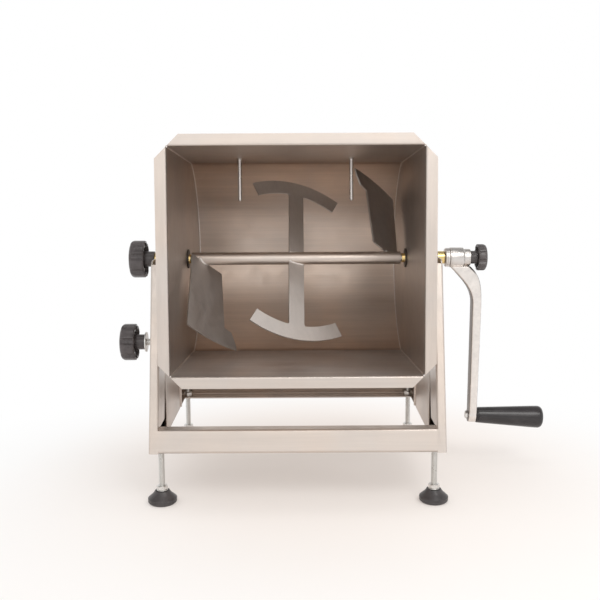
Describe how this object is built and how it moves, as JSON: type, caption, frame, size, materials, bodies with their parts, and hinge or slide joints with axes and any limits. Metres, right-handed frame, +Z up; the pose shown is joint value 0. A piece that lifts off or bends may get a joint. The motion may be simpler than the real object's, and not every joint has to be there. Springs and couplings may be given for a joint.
{
  "type": "meat mixer",
  "caption": "Hand-cranked tilting meat mixer: sheet-steel tank with an open mouth, welded paddles on a cross shaft, low frame on levelling feet.",
  "frame": {"origin": "on the floor, under the middle of the bounding box", "axes": "+X from the tank towards the crank, -Y out of the tank's mouth, +Z up"},
  "size_m": [0.6121, 0.3502, 0.4757],
  "materials": {
    "stainless_steel": "satin",
    "zinc_steel": "zinc-plated",
    "brass": "turned",
    "cast_aluminium": "cast, tumbled",
    "knob_plastic": "moulded",
    "grip_plastic": "smooth",
    "pad_rubber": "moulded",
    "seal_rubber": "smooth"
  },
  "bodies": {
    "frame": {"side_frame_left": "stainless_steel", "side_frame_right": "stainless_steel", "front_rail": "stainless_steel", "rear_rail": "stainless_steel", "foot_nuts": "zinc_steel", "sleeve_left": "brass", "sleeve_right": "brass", "sleeve_nuts": "zinc_steel", "lock_boss": "stainless_steel", "tilt_stop": "stainless_steel"},
    "tank": {"tank_wrap": "stainless_steel", "tank_end_left": "stainless_steel", "tank_end_right": "stainless_steel", "tank_hub_rings": "stainless_steel", "wall_seals": "seal_rubber", "index_plate": "stainless_steel", "breaker_pins": "stainless_steel"},
    "agitator": {"agitator_tube": "stainless_steel", "tube_plug": "brass", "drive_shaft": "zinc_steel", "drive_pin": "zinc_steel", "paddle_left": "stainless_steel", "paddle_centre_up": "stainless_steel", "paddle_centre_down": "stainless_steel", "paddle_right": "stainless_steel", "thrust_collar": "zinc_steel", "crank_arm": "cast_aluminium", "grip_spindle": "zinc_steel", "spindle_nut": "zinc_steel"},
    "grip": {"crank_grip": "grip_plastic"},
    "crank_knob": {"crank_knob_head": "knob_plastic", "crank_knob_stud": "zinc_steel"},
    "pivot_knob": {"pivot_knob_head": "knob_plastic", "pivot_spindle": "zinc_steel"},
    "lock_knob": {"lock_knob_head": "knob_plastic", "lock_stud": "zinc_steel", "lock_washer": "zinc_steel"},
    "foot_fl": {"foot_bolt_fl": "zinc_steel", "foot_pad_fl": "pad_rubber"},
    "foot_fr": {"foot_bolt_fr": "zinc_steel", "foot_pad_fr": "pad_rubber"},
    "foot_rl": {"foot_bolt_rl": "zinc_steel", "foot_pad_rl": "pad_rubber"},
    "foot_rr": {"foot_bolt_rr": "zinc_steel", "foot_pad_rr": "pad_rubber"}
  },
  "joints": [
    {"name": "tank_tilt", "type": "hinge", "parent": "frame", "child": "tank", "pos_m": [-0.05056, 0.02117, 0.3085], "axis": [-1, 0, 0], "range_deg": [0, 85.6]},
    {"name": "agitator_spin", "type": "hinge", "parent": "frame", "child": "agitator", "pos_m": [-0.05056, 0.02117, 0.3085], "axis": [-1, 0, 0], "continuous": true},
    {"name": "grip_spin", "type": "hinge", "parent": "agitator", "child": "grip", "pos_m": [0.20934, 0.02117, 0.077], "axis": [0.9992, 0, -0.0401], "continuous": true},
    {"name": "crank_knob_unscrew", "type": "slide", "parent": "agitator", "child": "crank_knob", "axis": [1, 0, 0], "range_m": [0, 0.012]},
    {"name": "pivot_knob_unscrew", "type": "slide", "parent": "frame", "child": "pivot_knob", "axis": [-1, 0, 0], "range_m": [0, 0.025]},
    {"name": "lock_knob_screw", "type": "slide", "parent": "frame", "child": "lock_knob", "axis": [1, 0, 0], "range_m": [0, 0.013]},
    {"name": "foot_screw_fl", "type": "slide", "parent": "frame", "child": "foot_fl", "axis": [0, 0, 1], "range_m": [-0.006, 0.006]},
    {"name": "foot_screw_fr", "type": "slide", "parent": "frame", "child": "foot_fr", "axis": [0, 0, 1], "range_m": [-0.006, 0.006]},
    {"name": "foot_screw_rl", "type": "slide", "parent": "frame", "child": "foot_rl", "axis": [0, 0, 1], "range_m": [-0.006, 0.006]},
    {"name": "foot_screw_rr", "type": "slide", "parent": "frame", "child": "foot_rr", "axis": [0, 0, 1], "range_m": [-0.006, 0.006]}
  ]
}
